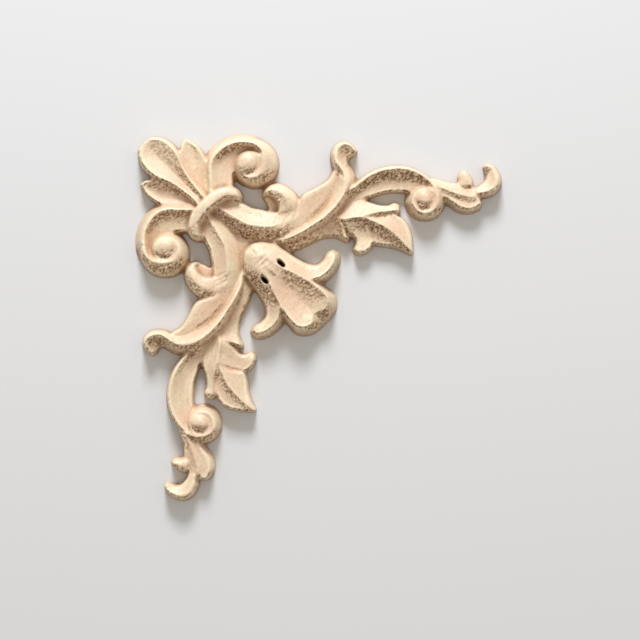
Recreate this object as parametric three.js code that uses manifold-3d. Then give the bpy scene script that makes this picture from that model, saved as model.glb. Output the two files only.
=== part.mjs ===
// Corner onlay: a carved wooden applique for the corner of a frame, door or box.
// A palmette sits in the outer corner, two volutes flank it, a clasp ties the stems, and each stem
// runs out along one arm as an acanthus leaf, a leaf spray and a scroll. A bell flower fills the
// inside of the corner. The whole is one piece of wood, flat on the back.
import * as THREE from 'three';
import Module from 'manifold-3d';

// Driving sizes, in millimetres.
const armSpan = 85;
const reliefHeight = 8;
const eyeletLength = 2.4;
const eyeletWidth = 0.9;
const woodUnderEyelet = 1.2;
const facetLength = 1.75;
const fewestFacets = 5;
const weldDistance = 0.005;

// How far the limbs run on below the back before it is planed flat.
const sawnAllowance = 1;

// The limbs below were drawn at this span and relief, seen from straight above the middle of the
// square from drawnFrom, so that what stands higher was drawn a little further out.
const drawnSpan = 84.19;
const drawnRelief = 8.05;
const drawnFrom = 425;
const drawnMiddle = [42.9, 43.1];
const drawnCorner = [0.488, 0.488];

// How far a side wall spreads for each millimetre that it drops.
const steep = 0.1;
const upright = 0.15;
const sloped = 0.3;
const rolled = 0.36;

const wood = new THREE.MeshStandardMaterial({ name: 'wood', color: 0xd9b48c, roughness: 0.75, metalness: 0 });

// A ring of stations round a middle, out to a circle: the round parts of the carving.
function disc(middle, ring, radius, count) {
  return Array.from({ length: count }, (_, k) => {
    const angle = (k / count) * 2 * Math.PI;
    return [...middle, ring[0] + radius * Math.cos(angle), ring[1] + radius * Math.sin(angle)];
  });
}

// Stations between two arcs, from one angle to another in degrees, with a radius of each for every station.
function sweep(outer, outerRadii, inner, innerRadii, from, to) {
  return outerRadii.map((outside, k) => {
    const angle = THREE.MathUtils.degToRad(from + ((to - from) * k) / (outerRadii.length - 1));
    const [c, s] = [Math.cos(angle), Math.sin(angle)];
    const inside = innerRadii[k];
    return [outer[0] + outside * c, outer[1] + outside * s, inner[0] + inside * c, inner[1] + inside * s];
  });
}

// The button, groove and ring at the middle of a volute, and the roll that falls away outside it.
const voluteButton = [26.2, 7.0];
const voluteRing = [26.9, 7.5];
const voluteRingRadius = 3.0;
const voluteRoll = [27.4, 7.1];
const voluteCrestRadii = [5.3, 4.6, 3.9, 3.2, 3, 3, 3, 3, 3, 3];
const voluteRollRadii = [5.2, 5.2, 5.2, 5.3, 5.4, 5.5, 5.4, 5.1, 4.6, 4.1];
const scrollButton = [66.9, 15.3];
const scrollRing = [67.0, 15.7];
const scrollRingRadius = 2.95;
const scrollRoll = [67.4, 15.8];
const scrollCrestRadii = [3.9, 3.3, 2.95, 2.95, 2.95, 2.95, 2.95, 2.95, 2.95];
const scrollRollRadii = [3.75, 3.8, 3.85, 3.9, 3.95, 3.95, 3.9, 3.8, 3.6];

// Each limb is a surface between a left and a right edge. A station gives a point of each edge, from
// the root to the tip, with u to the right and v down from the outer corner. A section is a share of
// the way from left to right, the height there, and how far the surface bulges on the way to it. A
// height, share or bulge that changes along the limb has one value for each station.
const limbs = [
  {
    name: 'palmette middle leaf', paired: false, lean: upright,
    stations: [
      [15.3, 17.0, 17.0, 15.3], [12.0, 14.1, 14.1, 12.0], [8.2, 11.6, 11.6, 8.2], [5.0, 10.2, 10.2, 5.0],
      [2.9, 8.5, 8.5, 2.9], [1.65, 6.6, 6.6, 1.65], [1.4, 4.6, 4.6, 1.4], [1.85, 3.1, 3.1, 1.85],
      [2.4, 2.4, 2.4, 2.4],
    ],
    across: [
      [0, [6.5, 5.8, 5.5, 5.5, 5.4, 5.2, 5.1, 4.9, 4.8]],
      [1, [6.5, 5.8, 5.5, 5.5, 5.4, 5.2, 5.1, 4.9, 4.8], [-1.5, -1.5, -1.5, -1.4, -1.2, -0.8, -0.35, -0.1, 0]],
    ],
  },
  {
    name: 'palmette side leaf', lean: steep,
    stations: [
      [15.5, 15.2, 17.2, 15.2], [13.6, 12.0, 16.6, 12.2], [12.0, 9.0, 16.4, 9.0], [10.95, 6.0, 16.4, 6.2],
      [10.9, 4.0, 15.3, 4.1], [11.2, 2.6, 13.8, 2.6], [12.0, 1.6, 12.0, 1.6],
    ],
    across: [
      [0, [5, 4, 4, 4, 4, 4, 3.8]],
      [0.45, [4.5, 3.4, 3.1, 2.9, 3.0, 3.3, 3.8]],
      [1, [5, 4, 3.6, 3.6, 3.8, 4, 3.8], [-0.3, -0.3, -0.3, -0.3, -0.3, -0.2, 0]],
    ],
  },
  {
    name: 'volute band', lean: [rolled, steep, steep, steep],
    stations: [
      [17.4, 16.0, 23.0, 15.5], [17.7, 12.5, 22.8, 12.5], [17.6, 10.0, 22.8, 10.0], [17.6, 7.6, 23.2, 8.2],
      [18.5, 5.4, 23.8, 6.6], [20.3, 3.7, 24.5, 5.8], [22.5, 2.6, 25.3, 5.2], [25.0, 2.2, 26.3, 5.0],
      [27.4, 2.6, 27.5, 5.2], [29.1, 3.9, 28.6, 5.7], [29.9, 6.2, 29.5, 6.6],
    ],
    across: [
      [0, [6, 6, 6, 6, 6.2, 6.3, 6.4, 6.5, 6.5, 6.4, 6.3]],
      [0.45, [4.2, 4.2, 4.1, 4, 3.9, 3.8, 3.8, 3.8, 4, 4.8, 6.2], -0.35],
      [1, [3.6, 3.6, 3.5, 3.4, 3.4, 3.4, 3.4, 3.4, 3.7, 4.6, 6.2], -0.1],
    ],
  },
  {
    name: 'volute roll', lean: [0.2, steep, steep, steep],
    stations: sweep(voluteRoll, voluteRollRadii, voluteRing, voluteCrestRadii, -110, 150),
    across: [
      [0, [6.2, 5.6, 4.8, 4.1, 3.7, 3.5, 3.4, 3.4, 3.5, 3.8]],
      [1, [6.5, 6.5, 6.4, 6.4, 6.3, 6.3, 6.2, 6.2, 6, 5.4], [0, 0.1, 0.3, 0.5, 0.5, 0.5, 0.5, 0.5, 0.4, 0.2]],
    ],
  },
  {
    name: 'volute eye', closed: true, lean: sloped,
    stations: disc(voluteButton, voluteRing, voluteRingRadius, 12),
    across: [
      [0, 7],
      [[0.52, 0.5, 0.5, 0.55, 0.65, 0.75, 0.8, 0.85, 0.88, 0.85, 0.75, 0.6], 6.4, 0.12],
      [
        [0.74, 0.7, 0.68, 0.72, 0.8, 0.86, 0.9, 0.93, 0.94, 0.93, 0.88, 0.78],
        [5.7, 5.7, 5.7, 5.8, 5.9, 6, 6, 6, 6, 6, 5.9, 5.8],
      ],
      [1, [6.3, 6.3, 6.3, 6.2, 6.1, 6, 5.8, 5.8, 5.8, 5.8, 6, 6.2], 0.05],
    ],
  },
  {
    name: 'clasp', paired: false, lean: [0.12, 0.28, steep, steep],
    stations: [
      [24.6, 14.5, 24.7, 15.0], [24.1, 13.7, 24.3, 15.1], [22.7, 12.75, 23.0, 14.95],
      [20.4, 12.85, 21.2, 14.95], [18.0, 13.9, 19.1, 16.2], [15.8, 15.8, 17.5, 17.5],
      [13.9, 18.0, 16.2, 19.1], [12.85, 20.4, 14.95, 21.2], [12.75, 22.7, 14.95, 23.0],
      [13.7, 24.1, 15.1, 24.3], [14.5, 24.6, 15.0, 24.7],
    ],
    across: [
      [0, [4.8, 5.8, 6.4, 7, 7.3, 7.6, 7.3, 7, 6.4, 5.8, 4.8]],
      [1, [4.8, 5.8, 6.6, 7.2, 7.6, 7.8, 7.6, 7.2, 6.6, 5.8, 4.8], 0.35],
    ],
  },
  {
    name: 'stem and leaf blade', lean: [upright, steep, steep, steep],
    stations: [
      [21.0, 16.0, 17.5, 17.7], [22.8, 15.9, 20.5, 20.8], [25.2, 16.7, 23.0, 23.0], [27.0, 17.6, 25.6, 24.4],
      [29.0, 18.0, 28.8, 25.0], [31.2, 18.4, 32.2, 25.0], [34.2, 18.4, 35.6, 23.8], [37.6, 16.8, 38.7, 22.0],
      [39.3, 14.5, 41.3, 20.2], [41.4, 13.3, 43.4, 18.0], [43.8, 12.0, 45.2, 15.2], [45.4, 10.6, 46.8, 12.4],
      [46.2, 9.0, 47.9, 10.4],
    ],
    across: [
      [0, [4.6, 4.7, 4.7, 4.6, 4.4, 4.2, 4.6, 5, 5, 5, 5, 5, 5]],
      [
        [0.5, 0.5, 0.5, 0.5, 0.5, 0.48, 0.42, 0.4, 0.4, 0.4, 0.4, 0.4, 0.4],
        [5.6, 5.9, 6.1, 6.2, 6.2, 6.1, 5.6, 5, 4.8, 4.7, 4.7, 4.7, 4.7],
        [-0.4, -0.5, -0.5, -0.45, -0.35, -0.2, 0, 0, 0, 0, 0, 0, 0],
      ],
      [
        1, [3, 3, 2.9, 2.8, 2.8, 3.2, 4, 4.3, 4.3, 4.3, 4.3, 4.4, 4.6],
        [0.5, 0.5, 0.5, 0.5, 0.5, 0.4, 0.2, 0, 0, 0, 0, 0, 0],
      ],
    ],
  },
  {
    name: 'leaf ridge', lean: [steep, 0.32, steep, steep],
    stations: [
      [31.6, 24.6, 31.8, 25.2], [34.0, 24.2, 34.6, 24.9], [37.0, 22.7, 37.8, 23.6], [40.2, 20.7, 41.4, 21.4],
      [42.8, 18.4, 44.4, 19.4], [44.8, 15.8, 46.8, 17.0], [46.5, 12.9, 48.8, 13.9], [47.3, 10.6, 49.8, 11.3],
      [46.8, 8.8, 49.5, 9.2], [46.2, 7.2, 48.6, 7.4], [46.0, 5.6, 47.2, 5.7], [46.0, 4.6, 46.6, 4.6],
    ],
    across: [
      [0, [3, 3.8, 4.2, 4.3, 4.3, 4.4, 4.6, 5.2, 5.6, 5.8, 5.8, 5.6]],
      [
        [0.6, 0.6, 0.6, 0.6, 0.6, 0.6, 0.6, 0.52, 0.45, 0.42, 0.45, 0.5],
        [3.4, 4.6, 5.6, 6, 6.2, 6.2, 6.2, 6.3, 6.4, 6.4, 6.3, 6], 0.1,
      ],
      [1, [3.2, 4.8, 6, 6.5, 6.6, 6.6, 6.4, 5.6, 4.8, 4.2, 4.4, 5.2], 0.1],
    ],
  },
  {
    name: 'curl hollow', lean: steep,
    stations: [
      [30.0, 14.2, 31.6, 13.6], [30.4, 15.8, 33.0, 15.2], [31.2, 17.4, 33.7, 17.0], [31.6, 18.6, 34.0, 18.8],
    ],
    across: [[0, 2.6], [1, 3, -0.3]],
  },
  {
    name: 'curl', lean: [0.18, steep, steep, upright],
    stations: [
      [37.6, 21.0, 33.6, 21.4], [37.9, 18.6, 33.4, 19.0], [37.9, 16.4, 33.5, 17.2], [37.0, 14.6, 33.1, 15.7],
      [35.8, 13.4, 32.5, 14.9], [34.4, 12.5, 31.9, 14.5], [32.9, 12.1, 31.4, 14.3], [31.4, 12.5, 31.0, 14.2],
      [30.4, 13.5, 30.6, 14.3], [30.1, 14.7, 30.2, 14.8],
    ],
    across: [
      [0, [3.6, 4.4, 4.7, 4.8, 4.8, 4.8, 4.8, 4.8, 4.6, 4]],
      [0.5, [3.8, 5, 5.7, 6, 6.1, 6.1, 6, 5.8, 5.2, 4], 0.2],
      [1, [3.6, 4.7, 5, 5.2, 5.4, 5.4, 5.2, 5, 4.6, 4], 0.1],
    ],
  },
  {
    name: 'leaf hood', lean: [upright, upright, steep, steep],
    stations: [
      [46.5, 7.6, 49.1, 7.5], [46.1, 6.2, 49.0, 6.6], [46.1, 4.7, 49.2, 6.0], [46.6, 3.4, 49.5, 5.6],
      [47.6, 2.55, 49.8, 5.4], [48.9, 2.4, 50.0, 5.2], [50.1, 3.1, 50.4, 5.0], [51.1, 4.2, 50.9, 4.6],
    ],
    across: [
      [0, [5.6, 5.6, 5.6, 5.5, 5.4, 5.2, 4.8, 4.4]],
      [[0.3, 0.25, 0.2, 0.15, 0.12, 0.12, 0.12, 0.3], [6.2, 6.2, 6.2, 6.1, 5.9, 5.6, 5, 4.4], 0.1],
      [1, [4, 3.7, 3.6, 3.6, 3.6, 3.6, 3.6, 3.8], [-0.2, -0.3, -0.4, -0.4, -0.4, -0.3, -0.2, 0]],
    ],
  },
  {
    name: 'under leaf', lean: 0.2,
    stations: [
      [32.5, 24.6, 33.2, 25.2], [35.0, 24.4, 35.6, 27.1], [38.0, 23.2, 38.2, 26.6], [41.0, 21.7, 41.4, 25.1],
      [43.6, 20.2, 44.2, 24.0], [45.9, 18.9, 47.0, 24.0], [47.4, 20.0, 49.2, 24.7],
    ],
    across: [
      [0, [3, 3.6, 3.8, 3.8, 3.8, 4, 4.6]],
      [0.45, [2.8, 3.1, 3, 2.9, 2.9, 3.4, 4.6]],
      [1, [2.4, 2.1, 2, 2, 2.2, 2.8, 4.4]],
    ],
  },
  {
    name: 'spray upper lobe', lean: steep,
    stations: [
      [46.2, 18.6, 48.0, 20.2], [48.6, 17.5, 50.0, 20.0], [50.8, 16.3, 52.5, 19.8], [53.6, 16.0, 55.0, 19.4],
      [56.4, 16.8, 57.0, 18.9], [58.8, 16.9, 59.0, 18.7], [60.2, 16.4, 60.6, 18.6], [61.1, 16.7, 61.2, 18.3],
    ],
    across: [
      [0, [3.4, 3.4, 3.4, 3.6, 3.8, 3.8, 3.8, 3.4]],
      [[0.9, 0.9, 0.85, 0.8, 0.75, 0.7, 0.7, 0.7], [5.4, 5.5, 5.5, 5.4, 5, 4.6, 4.3, 3.6], -0.25],
      [1, [5.4, 5.4, 5.2, 4.6, 3.8, 3.6, 3.4, 3.2]],
    ],
  },
  {
    name: 'spray tip leaf, upper half', lean: steep,
    stations: [
      [52.6, 18.6, 48.0, 19.6], [55.4, 18.7, 52.6, 19.6], [58.6, 18.9, 55.6, 20.5], [61.2, 19.5, 58.5, 22.1],
      [62.9, 21.0, 60.8, 24.2], [63.9, 23.6, 62.4, 26.0], [64.2, 27.9, 64.0, 27.9],
    ],
    across: [
      [0, [3.4, 3.6, 3.8, 4, 4.2, 4.2, 3.6]],
      [1, [5.4, 5.6, 5.6, 5.5, 5.2, 4.8, 3.6], [-0.2, -0.3, -0.5, -0.6, -0.5, -0.3, 0]],
    ],
  },
  {
    name: 'spray tip leaf, lower half', lean: upright,
    stations: [
      [52.6, 19.6, 53.6, 21.0], [54.2, 20.0, 54.6, 23.0], [55.6, 20.5, 55.2, 25.0], [58.5, 22.1, 57.2, 25.9],
      [60.8, 24.2, 59.8, 26.2], [62.4, 26.0, 62.0, 26.9], [64.0, 27.9, 64.0, 27.9],
    ],
    across: [
      [0, [5.6, 5.6, 5.6, 5.5, 5.2, 4.8, 3.6]],
      [0.8, [4.4, 3.8, 3.5, 3.3, 3.4, 3.7, 3.6], [-0.1, -0.2, -0.3, -0.3, -0.2, -0.1, 0]],
      [1, [4, 3.6, 3.5, 3.3, 3.4, 3.6, 3.6]],
    ],
  },
  {
    name: 'spray short lobe', lean: upright,
    stations: [
      [52.6, 19.6, 48.0, 19.6], [53.8, 21.0, 48.9, 21.6], [54.5, 22.8, 49.8, 23.1], [54.9, 24.6, 51.2, 24.6],
      [54.6, 26.2, 51.3, 26.0], [53.6, 27.3, 50.9, 27.0], [52.2, 27.9, 51.2, 27.7],
    ],
    across: [
      [0, [5.6, 4.6, 3.7, 3.4, 3.6, 3.6, 3.4]],
      [0.5, [4.9, 4.2, 3.4, 3.2, 3.5, 3.7, 3.6], -0.1],
      [1, [5.4, 4.6, 3.8, 3.4, 3.4, 3.4, 3.4]],
    ],
  },
  {
    name: 'scroll arm', lean: [upright, steep, steep, steep],
    stations: [
      [47.6, 17.4, 46.4, 18.8], [49.2, 14.2, 48.6, 18.4], [51.6, 11.7, 51.0, 16.0], [54.7, 9.5, 54.2, 14.9],
      [58.0, 8.3, 58.0, 13.8], [61.4, 8.0, 61.2, 13.6], [64.4, 8.6, 63.8, 13.7], [67.2, 10.1, 65.2, 13.2],
      [69.2, 12.1, 67.0, 12.9], [70.0, 14.4, 69.0, 14.0],
    ],
    across: [
      [0, [5, 5.4, 5.6, 5.6, 5.6, 5.6, 5.6, 5.6, 5.5, 5.4]],
      [0.66, [3.4, 3.2, 3, 3, 3, 3, 3.1, 3.4, 3.9, 5.2], -0.4],
      [1, [3.2, 3.1, 3, 3, 3, 3, 3, 3.2, 3.7, 5.2]],
    ],
  },
  {
    name: 'scroll roll', lean: [0.2, steep, steep, steep],
    stations: sweep(scrollRoll, scrollRollRadii, scrollRing, scrollCrestRadii, -60, 200),
    across: [
      [0, [5.2, 4.4, 3.6, 3.2, 3, 3.2, 3.5, 3.9, 4.2]],
      [1, [5.5, 5.5, 5.4, 5.3, 5.3, 5.2, 5.2, 5.1, 5], [0, 0.1, 0.25, 0.3, 0.3, 0.3, 0.3, 0.25, 0.2]],
    ],
  },
  {
    name: 'scroll eye', closed: true, lean: sloped,
    stations: disc(scrollButton, scrollRing, scrollRingRadius, 12),
    across: [
      [0, 6],
      [[0.46, 0.45, 0.45, 0.45, 0.46, 0.48, 0.52, 0.6, 0.68, 0.68, 0.6, 0.5], 5.5, 0.12],
      [
        [0.66, 0.64, 0.63, 0.64, 0.66, 0.68, 0.72, 0.78, 0.84, 0.84, 0.78, 0.7],
        [4.7, 4.7, 4.7, 4.7, 4.8, 4.9, 5, 5.1, 5.1, 5, 4.9, 4.8],
      ],
      [1, [5.4, 5.4, 5.3, 5.3, 5.2, 5.2, 5.1, 5, 5, 5, 5.1, 5.3], 0.05],
    ],
  },
  {
    name: 'end leaf', lean: [upright, 0.25, steep, upright],
    stations: [
      [68.6, 10.6, 69.5, 13.8], [70.8, 11.2, 71.2, 14.8], [72.8, 11.7, 73.2, 16.0], [75.2, 11.9, 75.4, 17.4],
      [77.6, 12.7, 77.8, 17.6], [79.4, 12.6, 79.9, 16.6],
    ],
    across: [
      [0, [3.6, 3.4, 3.2, 3.2, 3.2, 3.2]],
      [0.42, [4.8, 4.8, 4.8, 4.7, 4.6, 4.5], -0.1],
      [0.7, [4.4, 4.2, 4.1, 4, 4, 4.1]],
      [1, [4.2, 4.2, 4.3, 4.3, 4.2, 4]],
    ],
  },
  {
    name: 'end leaf tip', lean: [steep, 0.22, steep, steep],
    stations: [
      [78.6, 12.8, 78.9, 14.4], [80.0, 12.1, 81.6, 14.1], [81.2, 10.9, 83.4, 13.0], [81.4, 9.6, 84.2, 11.2],
      [81.1, 8.5, 83.7, 9.3], [81.0, 7.7, 82.7, 8.0], [81.4, 7.3, 82.0, 7.35],
    ],
    across: [
      [0, [3.4, 3.4, 3.4, 3.4, 3.6, 4, 4]],
      [0.7, [4.6, 4.7, 4.7, 4.7, 4.4, 4.2, 4], -0.1],
      [1, [4, 4.2, 4.4, 4.4, 4.2, 4.1, 4]],
    ],
  },
  {
    name: 'end leaf bud', lean: upright,
    stations: [
      [75.1, 12.6, 77.8, 12.4], [75.2, 11.0, 77.9, 11.2], [75.3, 9.8, 77.3, 10.0], [75.8, 9.0, 76.5, 9.1],
    ],
    across: [[0, 3.6], [0.5, [4.1, 4.3, 4.3, 3.9], 0.2], [1, 3.6, 0.1]],
  },
  {
    name: 'bell body', lean: [upright, steep, 0.2, steep],
    stations: [
      [26.4, 26.6, 26.5, 26.7], [27.4, 25.8, 27.7, 27.9], [29.4, 25.4, 29.0, 29.2], [31.6, 25.8, 30.4, 30.6],
      [33.4, 27.0, 31.8, 32.0], [35.2, 28.4, 33.2, 33.4], [36.6, 29.4, 34.6, 34.8],
    ],
    across: [
      [0, [4.6, 5.2, 5.1, 5, 4.8, 4.6, 4.4]],
      [1, [4.8, 6.6, 7.4, 7.6, 7.4, 6.6, 5.4], [0, 0.35, 0.58, 0.65, 0.6, 0.4, 0.2]],
    ],
  },
  {
    name: 'bell side petal', lean: [upright, 0.28, steep, 0.2],
    stations: [
      [29.0, 25.6, 28.2, 29.4], [32.2, 25.8, 31.2, 30.0], [34.8, 27.4, 34.2, 31.3], [37.4, 29.2, 37.3, 32.5],
      [40.0, 30.5, 40.4, 33.7], [42.3, 30.7, 43.0, 33.2], [43.9, 29.5, 45.1, 31.5], [44.6, 28.3, 46.2, 29.5],
      [45.1, 27.7, 46.3, 28.2], [45.6, 27.5, 45.8, 27.5],
    ],
    across: [
      [0, [5, 4.9, 4.7, 4.5, 4.3, 4.3, 4.3, 4.3, 4.3, 4.3]],
      [1, [7.4, 7.5, 7.2, 6.8, 6.6, 6.3, 5.8, 5.3, 4.8, 4.3], [0.9, 0.8, 0.4, 0, -0.2, -0.2, -0.1, 0, 0, 0]],
    ],
  },
  {
    name: 'bell middle petal', lean: [0.2, steep, steep, 0.25],
    stations: [
      [32.6, 30.0, 31.2, 31.4], [34.7, 31.1, 32.9, 33.1], [38.0, 32.6, 34.9, 35.1], [41.0, 34.4, 37.1, 37.3],
      [43.4, 36.2, 38.7, 38.9], [44.9, 38.2, 40.1, 40.3], [44.7, 40.1, 41.1, 41.3], [43.9, 41.2, 41.9, 41.6],
    ],
    across: [
      [0, [7.4, 7.4, 7.2, 7, 6.9, 6.6, 6.1, 5.7]],
      [0.45, [7.4, 6.9, 5.9, 5.4, 5.2, 5.2, 5.3, 5.4], -0.1],
      [1, [7.4, 6.8, 5.6, 4.9, 4.6, 4.6, 4.9, 5.2], -0.1],
    ],
  },
  {
    name: 'bell lip', lean: 0.32,
    stations: [
      [45.2, 37.4, 44.4, 38.6], [45.7, 39.4, 44.2, 40.1], [45.2, 41.5, 42.9, 41.1], [43.3, 43.5, 41.0, 41.2],
    ],
    across: [[0, [4.4, 4, 3.6, 3.4]], [1, [5.6, 5.4, 5.2, 5], 0.3]],
  },
  {
    name: 'web between the stems', paired: false, lean: steep,
    stations: [
      [17.0, 17.2, 17.2, 17.0], [19.8, 21.0, 21.0, 19.8], [22.4, 25.4, 25.4, 22.4], [26.0, 29.4, 29.4, 26.0],
    ],
    across: [[0, 3], [1, 3]],
  },
];

// The two eyelets bored beside the bell's middle petal: middle and direction in the plan.
const eyelet = { middle: [34.1, 30.35], direction: [0.73, 0.68] };

// Slopes of a curve through rows of values, one row at each mark.
function slopes(rows, marks) {
  const rise = rows.slice(1).map((row, k) => {
    const gap = marks[k + 1] - marks[k];
    return row.map((value, c) => (value - rows[k][c]) / gap);
  });
  const inner = rise.slice(1).map((after, k) => {
    const before = rise[k];
    const [near, far] = [marks[k + 1] - marks[k], marks[k + 2] - marks[k + 1]];
    return after.map((value, c) => (before[c] * far + value * near) / (near + far));
  });
  const [first, last] = [rise[0], rise[rise.length - 1]];
  const start = first.map((value, c) => 1.5 * value - 0.5 * inner[0][c]);
  const end = last.map((value, c) => 1.5 * value - 0.5 * inner[inner.length - 1][c]);
  return [start, ...inner, end];
}

// A smooth curve through rows of values. A closed one runs on past its last row to its first.
function smoothCurve(rows, marks, closed) {
  const round = marks[rows.length] ?? 0;
  const last = rows.length - 1;
  const points = closed ? [rows[last], ...rows, rows[0], rows[1]] : rows;
  const at = closed ? [marks[last] - round, ...marks, round + marks[1]] : marks;
  const slope = slopes(points, at);
  return (mark) => {
    let k = at.findIndex((value, index) => index > 0 && mark <= value) - 1;
    if (k < 0) k = at.length - 2;
    const step = at[k + 1] - at[k];
    const x = (mark - at[k]) / step;
    const [x2, x3] = [x * x, x * x * x];
    return points[k].map((value, c) => (2 * x3 - 3 * x2 + 1) * value + (x3 - 2 * x2 + x) * step * slope[k][c]
      + (3 * x2 - 2 * x3) * points[k + 1][c] + (x3 - x2) * step * slope[k + 1][c]);
  };
}

// One value for every station.
function spread(value, count) {
  return Array.isArray(value) ? value : new Array(count).fill(value);
}

// Brings a drawn point to its true place over the plan.
function unlean([u, v], height) {
  const pull = 1 - height / drawnFrom;
  return [drawnMiddle[0] + (u - drawnMiddle[0]) * pull, drawnMiddle[1] + (v - drawnMiddle[1]) * pull];
}

// The top of a limb, as rows of points from root to tip, each row from the left edge to the right.
function limbTop({ stations, across, closed }) {
  const count = stations.length;
  const lane = stations.map(([a, b, c, d]) => (closed ? [c, d] : [(a + c) / 2, (b + d) / 2]));
  const path = closed ? [...lane, lane[0]] : lane;
  const marks = [0];
  path.slice(1).forEach(([u, v], k) => marks.push(marks[k] + Math.hypot(u - path[k][0], v - path[k][1])));
  const length = marks[marks.length - 1];
  const edges = smoothCurve(stations, marks, closed);
  const section = across.map((knot) => [0, 1, 2].map((c) => spread(knot[c] ?? 0, count)));
  const knots = section.map((knot) => {
    const rows = stations.map((_, k) => knot.map((value) => value[k]));
    return smoothCurve(rows, marks, closed);
  });
  const rowCount = Math.max(fewestFacets, Math.round(length / facetLength));
  const rows = [];
  for (let r = 0; r < rowCount + (closed ? 0 : 1); r += 1) {
    const mark = (length * r) / rowCount;
    const [lu, lv, ru, rv] = edges(mark);
    const at = knots.map((knot) => knot(mark));
    const row = [];
    for (let k = 0; k < at.length - 1; k += 1) {
      const [from, to] = [at[k], at[k + 1]];
      const steps = across[k + 1][2] ? 2 : 1;
      for (let s = k ? 1 : 0; s <= steps; s += 1) {
        const x = s / steps;
        const share = from[0] + (to[0] - from[0]) * x;
        const height = from[1] + (to[1] - from[1]) * x + 4 * to[2] * x * (1 - x);
        row.push([...unlean([lu + (ru - lu) * share, lv + (rv - lv) * share], height), height]);
      }
    }
    rows.push(row);
  }
  return rows;
}

// Where each rim point comes down below the back, its wall spread outward by its lean.
function wallFoot(rim, leans) {
  const turn = rim.reduce((sum, [u, v], k) => {
    const [nextU, nextV] = rim[(k + 1) % rim.length];
    return sum + u * nextV - nextU * v;
  }, 0);
  const side = Math.sign(turn);
  const distinct = (from, step) => {
    for (let k = 1; k < rim.length; k += 1) {
      const other = rim[(from + step * k + rim.length * 2) % rim.length];
      const run = [other[0] - rim[from][0], other[1] - rim[from][1]];
      const size = Math.hypot(...run);
      if (size > 1e-4) return [run[0] / size, run[1] / size];
    }
    return [0, 0];
  };
  return rim.map(([u, v, height], k) => {
    const ahead = distinct(k, 1);
    const behind = distinct(k, -1);
    const out = [(ahead[1] - behind[1]) * side, (behind[0] - ahead[0]) * side];
    const size = Math.hypot(...out) || 1;
    const reach = (leans[k] * (height + sawnAllowance)) / size;
    return [u + out[0] * reach, v + out[1] * reach, -sawnAllowance];
  });
}

// A closed solid from a limb's top: the top, the walls, and the same net laid flat underneath.
function limbSolid(limb, mirrored) {
  const top = limbTop(limb);
  const rowCount = top.length;
  const width = top[0].length;
  const [left, right, start, end] = Array.isArray(limb.lean) ? limb.lean : new Array(4).fill(limb.lean);
  const loop = [];
  const leans = [];
  const visit = (r, c, lean) => {
    loop.push([r, c]);
    leans.push(lean);
  };
  if (limb.closed) {
    for (let r = rowCount - 1; r >= 0; r -= 1) visit(r, width - 1, right);
  } else {
    for (let r = 0; r < rowCount; r += 1) visit(r, 0, left);
    for (let c = 1; c < width; c += 1) visit(rowCount - 1, c, end);
    for (let r = rowCount - 2; r >= 0; r -= 1) visit(r, width - 1, right);
    for (let c = width - 2; c > 0; c -= 1) visit(0, c, start);
  }
  const foot = wallFoot(loop.map(([r, c]) => top[r][c]), leans);
  const under = top.map((row) => row.map(([u, v]) => [u, v, -sawnAllowance]));
  loop.forEach(([r, c], k) => {
    under[r][c] = foot[k];
  });
  const triangles = [];
  const quad = (a, b, c, d) => triangles.push([a, b, c], [a, c, d]);
  for (let r = 0; r < (limb.closed ? rowCount : rowCount - 1); r += 1) {
    const next = (r + 1) % rowCount;
    for (let c = 0; c < width - 1; c += 1) {
      quad(top[r][c], top[r][c + 1], top[next][c + 1], top[next][c]);
      quad(under[r][c], under[next][c], under[next][c + 1], under[r][c + 1]);
    }
  }
  loop.forEach(([r, c], k) => {
    const [nr, nc] = loop[(k + 1) % loop.length];
    quad(top[r][c], top[nr][nc], under[nr][nc], under[r][c]);
  });
  const placed = triangles.map((triangle) =>
    triangle.map(([u, v, height]) => place(mirrored ? [v, u] : [u, v], height)),
  );
  return closedSolid(placed);
}

// A drawn point in the part's own frame: the middle of the square at the origin, z up from the back.
function place([u, v], height) {
  const scale = armSpan / drawnSpan;
  return [
    (u - drawnCorner[0]) * scale - armSpan / 2,
    armSpan / 2 - (v - drawnCorner[1]) * scale,
    (height * reliefHeight) / drawnRelief,
  ];
}

// Joins triangles that share corners into one closed solid, facing outward.
function closedSolid(triangles) {
  const index = new Map();
  const positions = [];
  const corner = (point) => {
    const key = point.map((value) => Math.round(value * 1e4)).join();
    if (!index.has(key)) {
      index.set(key, positions.length / 3);
      positions.push(...point);
    }
    return index.get(key);
  };
  const faces = triangles
    .map((triangle) => triangle.map(corner))
    .filter(([a, b, c]) => a !== b && b !== c && c !== a);
  const at = (k) => new THREE.Vector3().fromArray(positions, k * 3);
  const volume = faces.reduce((sum, [a, b, c]) => sum + at(a).dot(at(b).cross(at(c))), 0);
  const outward = volume < 0 ? faces.map(([a, b, c]) => [a, c, b]) : faces;
  return new wasm.Manifold(new wasm.Mesh({
    numProp: 3,
    tolerance: weldDistance,
    vertProperties: new Float32Array(positions),
    triVerts: new Uint32Array(outward.flat()),
  }));
}

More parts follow.
